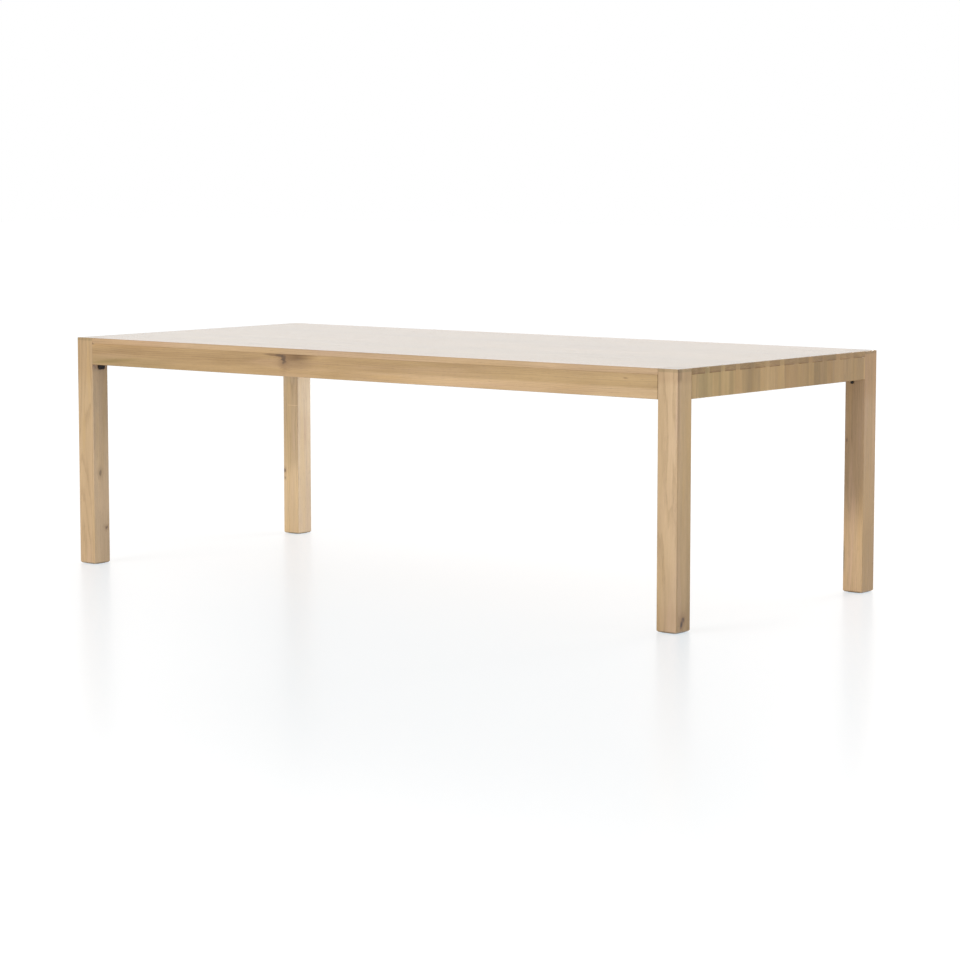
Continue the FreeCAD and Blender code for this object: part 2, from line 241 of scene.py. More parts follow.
# Weights of the noises in the depth of the colour, the mottle of end grain, the roughness and the relief
DEEP_BASE = 0.34
DEEP_EARLY = 0.20
DEEP_STRIPE = 0.80
DEEP_CLOUD = 1.15
DEEP_FIBRE = 0.42
MOTTLE_BASE = 0.70
MOTTLE_EARLY = 0.30
MOTTLE_FIBRE = 0.5
MOTTLE_NOISE = 0.8
ROUGH_FIBRE = 0.10
ROUGH_PORE = 0.15
HEIGHT_FIBRE = 0.5
HEIGHT_PORE = -0.6
HEIGHT_EARLY = -0.25


def ellipse(g, place, order, centre, radii, lean=0.0):
    """The distance of a place from a centre, 1 at the radii. A lean tips the form across the grain."""
    offset = g.vector("SUBTRACT", place, [centre[k] for k in order])
    if lean:
        along, across, through = g.node("SeparateXYZ", offset).outputs
        lifted = g.math("SUBTRACT", through, g.times(along, lean))
        offset = g.node("CombineXYZ", along, across, lifted).outputs[0]
    return g.vector("LENGTH", g.vector("DIVIDE", offset, [radii[k] for k in order]))


def band_share(g, axes, waver, limits):
    """1 within the limits of a band, whose soft ends waver with the grain."""
    parts = []
    for name, (start, stop, soft) in limits.items():
        value = g.total(axes["XYZ".index(name)], g.times(waver, BAND_WAVER * soft))
        parts.append(g.window(value, start, stop, soft))
    return g.times(*parts)


def oak(node, axis, tone=(1, 1, 1), seed=0, figure=1.0, pith=None, knots=(), marks=(), bands=(), glue=(0, 0),
        rough=0.30, relief=0.00014, end_rough=0.18, end_relief=1.0, under=0.0):
    """Oak for one piece, as a log with rings about a pith that runs along the grain.

    knots are (centre, radii, strength). marks are (centre, radii, tint, lean), soft ellipses of another
    tone that may lean across the grain. bands are ({axis: (low, high, softness)}, tint). All are in the
    part's frame. figure is the strength of the stripes and clouds. glue is the strength of the glue lines
    at the piece's two sides across the table. rough is the mean roughness and relief the depth of the
    grain. end_rough is added to the roughness of end grain, end_relief is the share of the relief that it
    keeps, and under is added to the roughness of faces that look down.
    """
    draw = random.Random(seed)
    low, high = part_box(node)
    middle = (low + high) / 2
    order = AXES[axis]
    along, across, through = order
    g = Graph(bpy.data.materials.new("oak_" + node))
    axes = g.node("SeparateXYZ", g.node("TexCoord").outputs["Object"]).outputs
    a, u, v = (axes[k] for k in order)
    shift = [draw.uniform(-GRAIN_SHIFT, GRAIN_SHIFT) for _ in range(3)]
    grain = g.vector("ADD", g.node("CombineXYZ", a, u, v).outputs[0], shift)
    bent = g.vector("SUBTRACT", g.drift(grain, BEND_CELLS, BEND_REACH), shift)
    if pith is None:
        side = draw.choice((-1, 1))
        pith = (draw.uniform(-PITH_ASIDE, PITH_ASIDE), side * draw.uniform(*PITH_DEPTHS))

    # Rings, bent by slow noise and by the knots
    wander = g.noise(grain, WANDER_CELLS, detail=1.0)
    waver = g.noise(grain, WAVER_CELLS)
    from_pith = g.node(
        "CombineXYZ",
        g.math("SUBTRACT", u, middle[across] + pith[0]),
        g.math("SUBTRACT", v, middle[through] + pith[1]),
        0.0,
    ).outputs[0]
    radius = g.total(
        g.vector("LENGTH", from_pith),
        g.times(wander, WANDER_REACH),
        g.times(waver, WAVER_REACH),
    )
    cores = []
    halos = []
    for centre, radii, strength in knots:
        ragged = g.times(g.noise(grain, RAGGED_CELLS), RAGGED_SHARE)
        distance = g.total(ellipse(g, bent, order, centre, radii), ragged)
        cores.append(g.rise(distance, *KNOT_CORE, strength, 0.0))
        halos.append(g.rise(distance, *KNOT_HALO, strength, 0.0))
        radius = g.total(radius, g.times(halos[-1], KNOT_REACH))
    ring_width = draw.uniform(*RING_WIDTHS)
    spacing = g.noise(g.node("CombineXYZ", radius, 0.0, shift[0]).outputs[0], SPACING_CELLS, detail=1.0)
    phase = g.math("FRACT", g.total(g.math("DIVIDE", radius, ring_width), g.times(spacing, SPACING_RINGS)))
    early = g.times(g.rise(phase, *EARLY_START), g.rise(phase, *EARLY_STOP, 1.0, 0.0))

    # Broad stripes, clouds, fibres and pores
    sheet = g.node("CombineXYZ", radius, g.times(a, STRIPE_SLANT), shift[1]).outputs[0]
    stripe = g.noise(sheet, STRIPE_CELLS, detail=3.0, roughness=0.6)
    cloud = g.noise(grain, CLOUD_CELLS, detail=3.0, roughness=0.55)
    hue = g.noise(grain, HUE_CELLS)
    fibre = g.noise(grain, FIBRE_CELLS, roughness=0.6)
    pore = g.rise(g.noise(grain, PORE_CELLS, detail=1.0), *PORE_STEP)
    pore = g.times(pore, g.total(g.times(early, PORE_EARLY), 1.0 - PORE_EARLY))

    # Colour of the wood, then bands, marks and knots
    deep = g.total(
        DEEP_BASE,
        g.times(early, DEEP_EARLY),
        g.times(stripe, DEEP_STRIPE * figure),
        g.times(cloud, DEEP_CLOUD * figure),
        g.times(fibre, DEEP_FIBRE),
    )
    colour = g.mix(g.math("MINIMUM", g.math("MAXIMUM", deep, 0.0), 1.0), PALE, DEEP)
    colour = g.mix(g.rise(hue, *GOLD_STEP, 0.0, GOLD_SHARE), colour, GOLD)
    colour = g.mix(g.rise(hue, *PINK_STEP, PINK_SHARE, 0.0), colour, PINK)
    colour = g.mix(g.times(pore, PORE_SHARE), colour, PORE)
    for limits, tint in bands:
        colour = g.mix(band_share(g, axes, waver, limits), colour, tint, "MULTIPLY")
    for centre, radii, tint, lean in marks:
        size = ellipse(g, bent, order, centre, radii, lean)
        colour = g.mix(g.rise(size, *MARK_FADE, 1.0, 0.0), colour, tint, "MULTIPLY")
    for core, halo in zip(cores, halos):
        colour = g.mix(g.times(halo, HALO_SHARE), colour, HALO)
        colour = g.mix(core, colour, KNOT)

    # End grain is darker and browner
    normal = g.node("SeparateXYZ", g.node("NewGeometry").outputs["Normal"]).outputs
    end = g.rise(g.math("ABSOLUTE", normal[along]), *END_STEP)
    mottle = g.total(
        MOTTLE_BASE,
        g.times(early, MOTTLE_EARLY),
        g.times(fibre, MOTTLE_FIBRE),
        g.times(g.noise(grain, MOTTLE_CELLS), MOTTLE_NOISE),
    )
    colour = g.mix(end, colour, g.mix(mottle, colour, END, "MULTIPLY"))
    colour = g.mix(1.0, colour, tone, "MULTIPLY")
    for strength, limit in zip(glue, (low.y, high.y)):
        if strength:
            line = g.math("ABSOLUTE", g.math("SUBTRACT", axes[1], limit))
            colour = g.mix(g.rise(line, 0.0, GLUE_WIDTH, strength, 0.0), colour, HALO)

    # Finish: fibres stand up, pores and early wood lie lower, and pores are rougher
    roughness = g.total(
        rough,
        g.times(fibre, ROUGH_FIBRE),
        g.times(pore, ROUGH_PORE),
        g.times(end, end_rough),
        g.rise(normal[2], *UNDER_STEP, under, 0.0),
    )
    height = g.total(
        g.times(fibre, HEIGHT_FIBRE),
        g.times(pore, HEIGHT_PORE),
        g.times(early, HEIGHT_EARLY),
    )
    height = g.times(height, g.rise(end, 0.0, 1.0, 1.0, end_relief))
    return g.surface(colour, roughness, height, relief, IOR=1.5)


def even(cells):
    """The same number of cells on each axis."""
    return (cells, cells, cells)


# Coat, plate and felt: linear colours, noise cells to the metre, mean roughness and height of the relief
COAT_DARK = (0.010, 0.007, 0.007)
COAT_LIGHT = (0.022, 0.016, 0.015)
COAT_PEEL_CELLS = 900
COAT_CLOUD_CELLS = 40
COAT_ROUGHNESS = 0.48
COAT_RELIEF = 0.00008
ZINC_GREY = (0.62, 0.61, 0.58)
ZINC_WARM = (0.56, 0.52, 0.42)
ZINC_CLOUD_CELLS = 260
ZINC_FINE_CELLS = 2500
ZINC_ROUGHNESS = 0.34
ZINC_RELIEF = 0.00003
FELT_DARK = (0.040, 0.026, 0.018)
FELT_LIGHT = (0.110, 0.076, 0.054)
FELT_TANGLE_CELLS = 1600
FELT_CLOUD_CELLS = 120
FELT_ROUGHNESS = 0.92
FELT_RELIEF = 0.0005


def black_steel(name):
    """Satin black coat: fine orange peel over a faint cloud."""
    g = Graph(bpy.data.materials.new(name))
    place = g.node("TexCoord").outputs["Object"]
    peel = g.noise(place, even(COAT_PEEL_CELLS))
    cloud = g.noise(place, even(COAT_CLOUD_CELLS), detail=3.0)
    colour = g.mix(g.rise(cloud, -0.1, 0.25), COAT_DARK, COAT_LIGHT)
    roughness = g.total(COAT_ROUGHNESS, g.times(cloud, 0.2))
    return g.surface(colour, roughness, peel, COAT_RELIEF, IOR=1.36)


def zinc(name):
    """Zinc plate: a bright metal with a faint warm cloud."""
    g = Graph(bpy.data.materials.new(name))
    place = g.node("TexCoord").outputs["Object"]
    cloud = g.noise(place, even(ZINC_CLOUD_CELLS), detail=3.0)
    fine = g.noise(place, even(ZINC_FINE_CELLS), detail=1.0)
    colour = g.mix(g.rise(cloud, -0.2, 0.2), ZINC_GREY, ZINC_WARM)
    roughness = g.total(ZINC_ROUGHNESS, g.times(cloud, 0.25))
    return g.surface(colour, roughness, fine, ZINC_RELIEF, Metallic=1.0)


def felt(name):
    """Pressed brown felt with a tangle of fibres."""
    g = Graph(bpy.data.materials.new(name))
    place = g.node("TexCoord").outputs["Object"]
    tangle = g.noise(place, even(FELT_TANGLE_CELLS), detail=3.0, roughness=0.7)
    cloud = g.noise(place, even(FELT_CLOUD_CELLS))
    colour = g.mix(g.rise(g.total(tangle, cloud), -0.25, 0.25), FELT_DARK, FELT_LIGHT)
    roughness = g.total(FELT_ROUGHNESS, g.times(tangle, 0.1))
    return g.surface(colour, roughness, tangle, FELT_RELIEF, IOR=1.4)


def dress(name, material):
    """Gives a CAD node its finished material."""
    mesh = nodes[name].data
    mesh.materials.clear()
    mesh.materials.append(material)


# Limits past the table, and past the inner faces of the legs, for bands that are open on that side
PAST_LEFT = -1.30
PAST_RIGHT = 1.30
PAST_FRONT = -0.60
PAST_BACK = 0.60
PAST_FLOOR = -1.00
PAST_TOP = 0.80
INSIDE_LEFT = -1.00
INSIDE_RIGHT = 1.10
INSIDE_FRONT = -0.40
INSIDE_BACK = 0.40

# Skins of faces, as limits for bands: the leg faces, then the ends and the front of the staves
SKIN = 0.0011
END_SKIN = 0.0015
SKIN_SOFT = 0.0005
FRONT_FACE = (PAST_FRONT, FRONT + SKIN, SKIN_SOFT)
RIGHT_FACE = (RIGHT - SKIN, PAST_RIGHT, SKIN_SOFT)
LEFT_INNER_FACE = (LEFT_INNER - SKIN, INSIDE_LEFT, SKIN_SOFT)
BACK_INNER_FACE = (INSIDE_BACK, BACK_INNER + SKIN, SKIN_SOFT)
RIGHT_END = (RIGHT - END_SKIN, PAST_RIGHT, SKIN_SOFT)
LEFT_END = (PAST_LEFT, LEFT + END_SKIN, SKIN_SOFT)
STAVE_FRONT = (PAST_FRONT, FRONT + END_SKIN, SKIN_SOFT)

# Eased upper edges of the stave ends and of the front stave, darkened by bands of painted shade
ARRIS_SOFT = 0.0006
END_ARRIS = (SURFACE - 0.0026, PAST_TOP, ARRIS_SOFT)
FRONT_ARRIS = (SURFACE - 0.0025, PAST_TOP, ARRIS_SOFT)

# Finishes that several pieces share
POLISHED_ENDS = {"end_rough": -0.18, "end_relief": 0.2}
TOP_FINISH = {"rough": 0.12, "relief": 0.00003, "under": 0.4}

# Legs: each has its tone, knots, marks and bands of sapwood, of painted light and of painted shade that
# lighten or darken faces where the light falls, and all have a darker rim at the top
LEG_SEED = 11
LEG_TOP = ({"Z": (SURFACE - 0.0095, SURFACE - 0.0012, 0.0011)}, (0.80, 0.82, 0.78))
LEG_LOOKS = {
    "front_right": {
        "tone": (1.28, 1.32, 1.48),
        "knots": [
            ((RIGHT, -0.514, 0.039), (0.010, 0.011, 0.013), 1.0),
            ((RIGHT, -0.520, 0.026), (0.010, 0.008, 0.013), 1.0),
        ],
        "bands": [
            # Painted light: the front face is made lighter than the sides
            ({"Y": FRONT_FACE}, (1.05, 1.08, 1.20)),
            ({"Y": FRONT_FACE, "X": (INSIDE_RIGHT, 1.170, 0.010)}, (0.92, 0.91, 0.89)),
            ({"Y": FRONT_FACE, "X": (1.188, PAST_RIGHT, 0.012)}, (1.06, 1.07, 1.10)),
            # Painted shade along the front corner of the right face, darker higher up
            ({"X": RIGHT_FACE, "Y": (PAST_FRONT, -0.5385, 0.002)}, (0.92, 0.91, 0.90)),
            (
                {"X": RIGHT_FACE, "Y": (PAST_FRONT, -0.5350, 0.004), "Z": (0.54, PAST_TOP, 0.10)},
                (0.80, 0.78, 0.76),
            ),
            (
                {"X": RIGHT_FACE, "Y": (-0.500, INSIDE_FRONT, 0.010), "Z": (PAST_FLOOR, 0.50, 0.06)},
                (0.90, 0.89, 0.87),
            ),
            # Painted shade at the top of the right face beside the front corner
            (
                {"X": RIGHT_FACE, "Y": (PAST_FRONT, -0.526, 0.003), "Z": (0.728, PAST_TOP, 0.008)},
                (0.74, 0.72, 0.68),
            ),
            ({"Z": (0.722, PAST_TOP, 0.012)}, (0.90, 0.87, 0.85)),
            # Painted shade: darker towards the foot
            ({"Z": (PAST_FLOOR, 0.20, 0.26)}, (0.84, 0.83, 0.82)),
            ({"Z": (PAST_FLOOR, 0.075, 0.03)}, (0.92, 0.90, 0.88)),
            LEG_TOP,
        ],
    },
    "front_left": {
        "tone": (1.18, 1.22, 1.46),
        "knots": [
            ((LEFT_INNER, -0.491, 0.120), (0.010, 0.008, 0.007), 0.7),
            ((LEFT_INNER, -0.517, 0.308), (0.010, 0.008, 0.014), 0.5),
        ],
        "bands": [
            # Painted light: the inner face, which lies in shade under the table, is made lighter
            ({"X": LEFT_INNER_FACE}, (1.27, 1.39, 1.64)),
            (
                {"X": LEFT_INNER_FACE, "Y": (PAST_FRONT, -0.520, 0.006), "Z": (0.28, PAST_TOP, 0.06)},
                (1.12, 1.13, 1.13),
            ),
            ({"X": LEFT_INNER_FACE, "Z": (PAST_FLOOR, 0.17, 0.06)}, (0.89, 0.89, 0.89)),
            # Painted shade on the inner face just under the apron
            ({"X": LEFT_INNER_FACE, "Z": (0.658, PAST_TOP, 0.014)}, (0.68, 0.61, 0.64)),
            ({"Y": FRONT_FACE, "Z": (0.62, PAST_TOP, 0.04)}, (0.92, 0.89, 0.84)),
            ({"Z": (0.45, PAST_TOP, 0.15)}, (0.95, 0.95, 0.94)),
            ({"Z": (PAST_FLOOR, 0.33, 0.08)}, (1.04, 1.04, 1.04)),
            LEG_TOP,
        ],
    },
    "back_left": {
        # A paler leg: partly the wood's tone and partly painted light
        "tone": (1.48, 1.63, 2.10),
        "knots": [
            ((-1.213, BACK_INNER, 0.229), (0.005, 0.010, 0.009), 0.7),
            ((-1.212, BACK_INNER, 0.202), (0.004, 0.010, 0.006), 0.45),
        ],
        "bands": [
            # A paler inner face: partly sapwood and partly painted light
            ({"X": LEFT_INNER_FACE}, (1.25, 1.35, 1.60)),
            ({"X": LEFT_INNER_FACE, "Z": (0.44, 0.56, 0.03)}, (1.07, 1.10, 1.13)),
            ({"X": LEFT_INNER_FACE, "Z": (PAST_FLOOR, 0.22, 0.05)}, (0.94, 0.93, 0.94)),
            # Painted light on the lower part of the face towards the front, below the shadow of the front
            # apron
            ({"Y": BACK_INNER_FACE, "Z": (PAST_FLOOR, 0.24, 0.04)}, (1.16, 1.16, 1.16)),
            ({"Y": BACK_INNER_FACE, "Z": (0.545, 0.70, 0.015)}, (0.94, 0.95, 0.98)),
            (
                {
                    "X": (-1.196, LEFT_INNER - SKIN, 0.003),
                    "Y": BACK_INNER_FACE,
                    "Z": (0.4672, 0.4697, 0.0006),
                },
                (1.22, 1.25, 1.30),
            ),
            LEG_TOP,
        ],
        "marks": [((LEFT_INNER, 0.515, 0.375), (0.010, 0.006, 0.080), (0.90, 0.84, 0.82), 0)],
    },
    "back_right": {
        "tone": (1.05, 1.02, 1.12),
        "knots": [((1.156, BACK_INNER, 0.478), (0.004, 0.010, 0.007), 0.45)],
        "bands": [
            # Painted light: the face towards the front, which lies in the table's shadow, is made lighter
            ({"Y": BACK_INNER_FACE}, (1.25, 1.33, 1.47)),
            ({"X": RIGHT_FACE, "Z": (0.615, PAST_TOP, 0.03)}, (0.92, 0.86, 0.77)),
            (
                {"X": RIGHT_FACE, "Y": (0.526, PAST_BACK, 0.006), "Z": (0.40, PAST_TOP, 0.05)},
                (1.13, 1.12, 1.18),
            ),
            ({"X": RIGHT_FACE, "Z": (PAST_FLOOR, 0.20, 0.06)}, (0.91, 0.91, 0.89)),
            # Painted light on the lower part of that face, below the shadow of the front apron
            ({"Y": BACK_INNER_FACE, "Z": (PAST_FLOOR, 0.30, 0.08)}, (1.06, 1.06, 1.06)),
            LEG_TOP,
        ],
        "marks": [((1.150, BACK_INNER, 0.105), (0.006, 0.012, 0.060), (0.45, 0.48, 0.50), 0)],
    },
}
for number, (corner, look) in enumerate(LEG_LOOKS.items()):
    name = "leg_" + corner
    dress(name, oak(name, "Z", seed=LEG_SEED + number, figure=0.5, **POLISHED_ENDS, **look))
    dress("foot_pad_" + corner, felt("felt_" + corner))
    dress("leg_bracket_" + corner, black_steel("steel_" + corner))

# Long aprons and the staves above them, with painted shade where both meet the left front leg
PAST_APRON_LOW = 0.60
PAST_APRON_HIGH = 0.75
APRON_END_LINE = 0.0022
MARK_DEPTH = 0.020
# Painted shade of the small gap where the apron, the front stave and the left front leg meet
PAINTED_JOINT_SHADE = ((-1.147, FRONT, 0.745), (0.007, MARK_DEPTH, 0.0045), (0.36, 0.33, 0.32), 0)
APRON_KNOTS = [
    ((-0.290, FRONT, 0.728), (0.013, MARK_DEPTH, 0.022), 0.82),
    ((-0.304, FRONT, 0.7395), (0.030, MARK_DEPTH, 0.006), 0.64),
]
APRON_MARKS = [
    ((-0.335, FRONT, 0.7395), (0.056, MARK_DEPTH, 0.0055), (0.55, 0.51, 0.46), 0),
    ((-0.246, FRONT, 0.736), (0.062, MARK_DEPTH, 0.018), (0.60, 0.54, 0.46), 0),
    ((-0.205, FRONT, 0.738), (0.062, MARK_DEPTH, 0.013), (0.70, 0.65, 0.58), 0),
    ((-0.245, FRONT, 0.716), (0.100, MARK_DEPTH, 0.026), (0.76, 0.74, 0.71), 0),
    ((-1.040, FRONT, 0.691), (0.140, MARK_DEPTH, 0.008), (0.87, 0.89, 0.76), 0.08),
    ((-1.090, FRONT, 0.684), (0.090, MARK_DEPTH, 0.007), (0.86, 0.88, 0.76), 0.05),
    # Painted shade along the seam between the apron and the front stave
    ((-0.230, FRONT, 0.7425), (0.110, MARK_DEPTH, 0.003), (0.72, 0.66, 0.58), 0),
    ((1.037, FRONT, 0.729), (0.011, MARK_DEPTH, 0.005), (0.72, 0.68, 0.64), 0),
    PAINTED_JOINT_SHADE,
]
APRON_BANDS = [
    ({"X": (PAST_LEFT, -0.80, 0.15), "Z": (PAST_APRON_LOW, 0.704, 0.010)}, (0.87, 0.89, 0.86)),
    ({"X": (-0.60, 0.02, 0.12), "Z": (PAST_APRON_LOW, 0.704, 0.008)}, (1.08, 1.09, 1.10)),
    ({"X": (0.02, PAST_RIGHT, 0.12), "Z": (PAST_APRON_LOW, 0.703, 0.005)}, (1.27, 1.32, 1.53)),
    ({"X": (0.10, PAST_RIGHT, 0.25), "Z": (0.703, PAST_APRON_HIGH, 0.005)}, (1.03, 1.05, 1.06)),
    ({"X": (0.93, PAST_RIGHT, 0.05), "Z": (PAST_APRON_LOW, 0.703, 0.005)}, (1.07, 1.10, 1.14)),
    ({"X": (PAST_LEFT, -0.83, 0.05), "Z": (0.733, PAST_APRON_HIGH, 0.006)}, (1.12, 1.10, 1.08)),
    ({"X": (RIGHT_INNER - APRON_END_LINE, PAST_RIGHT, 0.0008)}, (0.72, 0.70, 0.66)),
]
FRONT_STAVE_BANDS = [
    ({"X": (PAST_LEFT, -0.80, 0.10)}, (0.95, 0.91, 0.85)),
    ({"X": (0.72, PAST_RIGHT, 0.08)}, (1.06, 1.06, 1.08)),
    # Painted shade on the eased upper edge of the front face
    ({"Y": STAVE_FRONT, "Z": FRONT_ARRIS}, (0.86, 0.84, 0.83)),
]
dress("apron_front", oak(
    "apron_front", "X", tone=(1.00, 0.97, 0.965), seed=21, figure=0.9, pith=(0.02, 0.16),
    knots=APRON_KNOTS, marks=APRON_MARKS, bands=APRON_BANDS,
))
dress("apron_back", oak("apron_back", "X", tone=(1.02, 1.00, 1.04), seed=22))
dress("top_edge_stave_front", oak(
    "top_edge_stave_front", "X", tone=(1.20, 1.22, 1.48), seed=23, figure=0.8,
    marks=[PAINTED_JOINT_SHADE], bands=FRONT_STAVE_BANDS, **TOP_FINISH,
))
dress("top_edge_stave_back", oak(
    "top_edge_stave_back", "X", tone=(1.17, 1.18, 1.38), seed=24, figure=0.8, **TOP_FINISH,
))

# Plank top: the tone of each stave is drawn, first its level and then how cool it is
TONE_SEED = 5
STAVE_SEED = 30
LEVELS = (0.98, 1.12)
COOLNESSES = (1.00, 1.04)
BLUE_LIFT = 1.16
GLUE_LINE = 0.55
TAIL_TINT = (1.04, 0.995, 0.935)
# Painted shade on the eased upper edges of the stave ends and along the seam under the tails
PAINTED_TAIL_ARRIS_SHADE = (0.84, 0.84, 0.84)
PAINTED_TAIL_FOOT_SHADE = (0.86, 0.79, 0.74)
TAIL_FOOT = 0.0028
BELOW_STAVES = 0.70
STAVE_BANDS = [
    # Painted shade along the seam under the tails
    ({"Z": (BELOW_STAVES, STAVE_UNDERSIDE + TAIL_FOOT, 0.0008)}, PAINTED_TAIL_FOOT_SHADE),
    ({"X": RIGHT_END}, TAIL_TINT),
    ({"X": LEFT_END}, TAIL_TINT),
    # Painted shade on the eased upper edges of the stave ends
    ({"X": RIGHT_END, "Z": END_ARRIS}, PAINTED_TAIL_ARRIS_SHADE),
    ({"X": LEFT_END, "Z": END_ARRIS}, PAINTED_TAIL_ARRIS_SHADE),
]
tones = random.Random(TONE_SEED)
for k in range(1, STAVES + 1):
    name = "top_stave_%02d" % k
    level = tones.uniform(*LEVELS)
    cool = tones.uniform(*COOLNESSES)
    tone = (level, level * cool, level * cool * BLUE_LIFT)
    dress(name, oak(
        name, "X", tone=tone, seed=STAVE_SEED + k, bands=STAVE_BANDS,
        glue=(GLUE_LINE, GLUE_LINE), **TOP_FINISH,
    ))

# End boards, from the front to the back at the right end, and turned half round at the left end: the side,
# its turn and its first seed, then each board's tone, and its streaks with their limits, softness and tint
BOARD_ENDS = (("right", 1, 50), ("left", -1, 70))
BOARD_TONES = (
    (1.04, 1.08, 0.99),
    (1.15, 1.15, 0.98),
    (0.99, 0.96, 0.83),
    (1.20, 1.17, 1.08),
    (0.98, 0.90, 0.75),
    (0.87, 0.81, 0.63),
    (0.78, 0.72, 0.54),
    (0.97, 0.92, 0.90),
    (0.92, 0.87, 0.78),
)
BOARD_BANDS = {
    1: [(-0.480, -0.447, 0.012, (1.14, 1.10, 1.12)), (-0.436, -0.390, 0.006, (0.92, 0.93, 0.90))],
    2: [(-0.338, -0.326, 0.005, (0.86, 0.88, 0.84)), (-0.284, -0.262, 0.008, (0.88, 0.88, 0.88))],
    3: [(-0.260, -0.214, 0.010, (1.17, 1.15, 1.17)), (-0.192, -0.150, 0.014, (0.84, 0.83, 0.80))],
    4: [(-0.120, -0.086, 0.012, (0.92, 0.91, 0.91))],
    5: [(0.078, 0.125, 0.012, (0.92, 0.92, 0.88))],
    6: [(0.152, 0.174, 0.005, (1.16, 1.17, 1.20))],
    7: [(0.180, 0.208, 0.008, (0.86, 0.85, 0.81)), (0.258, 0.290, 0.012, (1.10, 1.06, 1.06))],
    9: [(0.4695, 0.4775, 0.001, (1.32, 1.34, 1.38)), (0.405, 0.412, 0.003, (0.90, 0.90, 0.90))],
}
BACK_BOARDS = (6, 7, 8, 9)
PIN_TINT = (0.83, 0.83, 0.84)
BACK_PIN_TINT = (0.93, 0.88, 0.84)
PIN_FOOT = 0.0005
PINS = (STAVE_UNDERSIDE + PIN_FOOT, PAST_TOP, 0.002)
FAINT_GLUE_LINE = 0.10
NO_GLUE_LINE = 0.0
for k, tone in enumerate(BOARD_TONES, start=1):
    front_glue = FAINT_GLUE_LINE if k == 1 else GLUE_LINE
    back_glue = NO_GLUE_LINE if k == len(BOARD_TONES) else GLUE_LINE
    for side, turn, first_seed in BOARD_ENDS:
        name = "end_board_%s_%d" % (side, k)
        bands = [({"Z": PINS}, BACK_PIN_TINT if k in BACK_BOARDS else PIN_TINT)]
        for start, stop, soft, tint in BOARD_BANDS.get(k, ()):
            limits = sorted((turn * start, turn * stop))
            bands.append(({"Y": (*limits, soft)}, tint))
        dress(name, oak(
            name, "Z", tone=tone, seed=first_seed + k, figure=0.8, bands=bands,
            glue=(front_glue, back_glue)[::turn], **POLISHED_ENDS,
        ))

# Hidden frame, with a duller finish
FRAME_TONE = (1.12, 1.12, 1.22)
BLOCK_TONE = (1.14, 1.13, 1.22)
FRAME_ROUGH = 0.55
BEARER_SEED = 92
for side in ("left", "right"):
    name = "end_rail_" + side
    dress(name, oak(name, "Y", tone=FRAME_TONE, seed=90, rough=FRAME_ROUGH))
for k in range(1, BEARERS + 1):
    name = "cross_bearer_%d" % k
    dress(name, oak(name, "Y", tone=FRAME_TONE, seed=BEARER_SEED + k, rough=FRAME_ROUGH))
dress("glue_blocks", oak("glue_blocks", "X", tone=BLOCK_TONE, seed=97, rough=FRAME_ROUGH))
dress("corner_braces", black_steel("steel_braces"))


# Fasteners: turned heads and shanks in the place of the plain prisms
SEGMENTS = 24
SAME_PLACE = 1e-5
SORT_DIGITS = 4
SHARP_ANGLE = math.radians(32)
CHAMFER_ANGLE = math.radians(30)
HEXAGON_SIDE = math.radians(60)
BOLT_FLATS = 0.013
BOLT_HEAD = 0.0055
BOLT_DISH = 0.0003
BOLT_WASHER = 0.0006
BOLT_SHANK = 0.008
BOLT_TIP = 0.002
SCREW_HEAD = 0.003
SCREW_HEAD_RADIUS = 0.0045
SCREW_SHANK = 0.005
SCREW_TIP = 0.005

# Bolt head: shares of half its width, and the dish as a share of the crown
HEXAGON_SHARE = 0.995
CROWN_SHARE = 0.93
WASHER_SHARE = 0.96
DISH_SHARE = 0.86

# Screw head: radius and height shares, then half an arm's width and its reach at the recess's mouth and foot
PAN_SHARES = ((0.66, 1.0), (0.82, 0.94), (0.93, 0.78), (0.99, 0.52), (1.0, 0.30), (1.0, 0.0))
RECESS_MOUTH = (0.00055, 0.0023)
RECESS_FOOT = (0.00035, 0.0012)
RECESS_FOOT_SHARE = 0.35

# Shank: shares of its length, of its radius and of the thread's pitch
PLAIN_SHARE = 0.4
PITCH_SHARE = 0.7
NECK_SHARE = 0.90
CREST_SHARE = 0.98
ROOT_SHARE = 0.78
TAPER_SHARE = 0.80
POINT_SHARE = 0.25
CREST_PITCH_SHARE = 0.4
ROOT_PITCH_SHARE = 0.8


def loose_solids(node):
    """The points of each separate solid of a node."""
    bm = bmesh.new()
    bm.from_mesh(nodes[node].data)
    bmesh.ops.remove_doubles(bm, verts=bm.verts, dist=SAME_PLACE)
    solids = []
    left = set(bm.verts)
    while left:
        front = [left.pop()]
        points = []
        while front:
            vert = front.pop()
            points.append(vert.co.copy())
            for edge in vert.link_edges:
                other = edge.other_vert(vert)
                if other in left:
                    left.remove(other)
                    front.append(other)
        solids.append(points)
    bm.free()
    return solids


def seat(points):
    """The place of a fastener: the outer end of its head, its direction and its length."""
    low = Vector([min(p[k] for p in points) for k in range(3)])
    high = Vector([max(p[k] for p in points) for k in range(3)])
    axis = max(range(3), key=lambda k: high[k] - low[k])
    middle = (low + high) / 2
    reach = {}
    for limit in (low[axis], high[axis]):
        flat = [p for p in points if abs(p[axis] - limit) < SAME_PLACE]
        reach[limit] = max((p - middle).length for p in flat)
    head = max(reach, key=reach.get)
    way = Vector((0, 0, 0))
    way[axis] = 1.0 if head == low[axis] else -1.0
    outside = middle.copy()
    outside[axis] = head
    return outside, way, high[axis] - low[axis]


def ring(bm, radii, heights):
    """A ring of vertices about the Z axis."""
    verts = []
    for k, (radius, height) in enumerate(zip(radii, heights)):
        angle = 2 * math.pi * k / SEGMENTS
        verts.append(bm.verts.new((radius * math.cos(angle), radius * math.sin(angle), height)))
    return verts


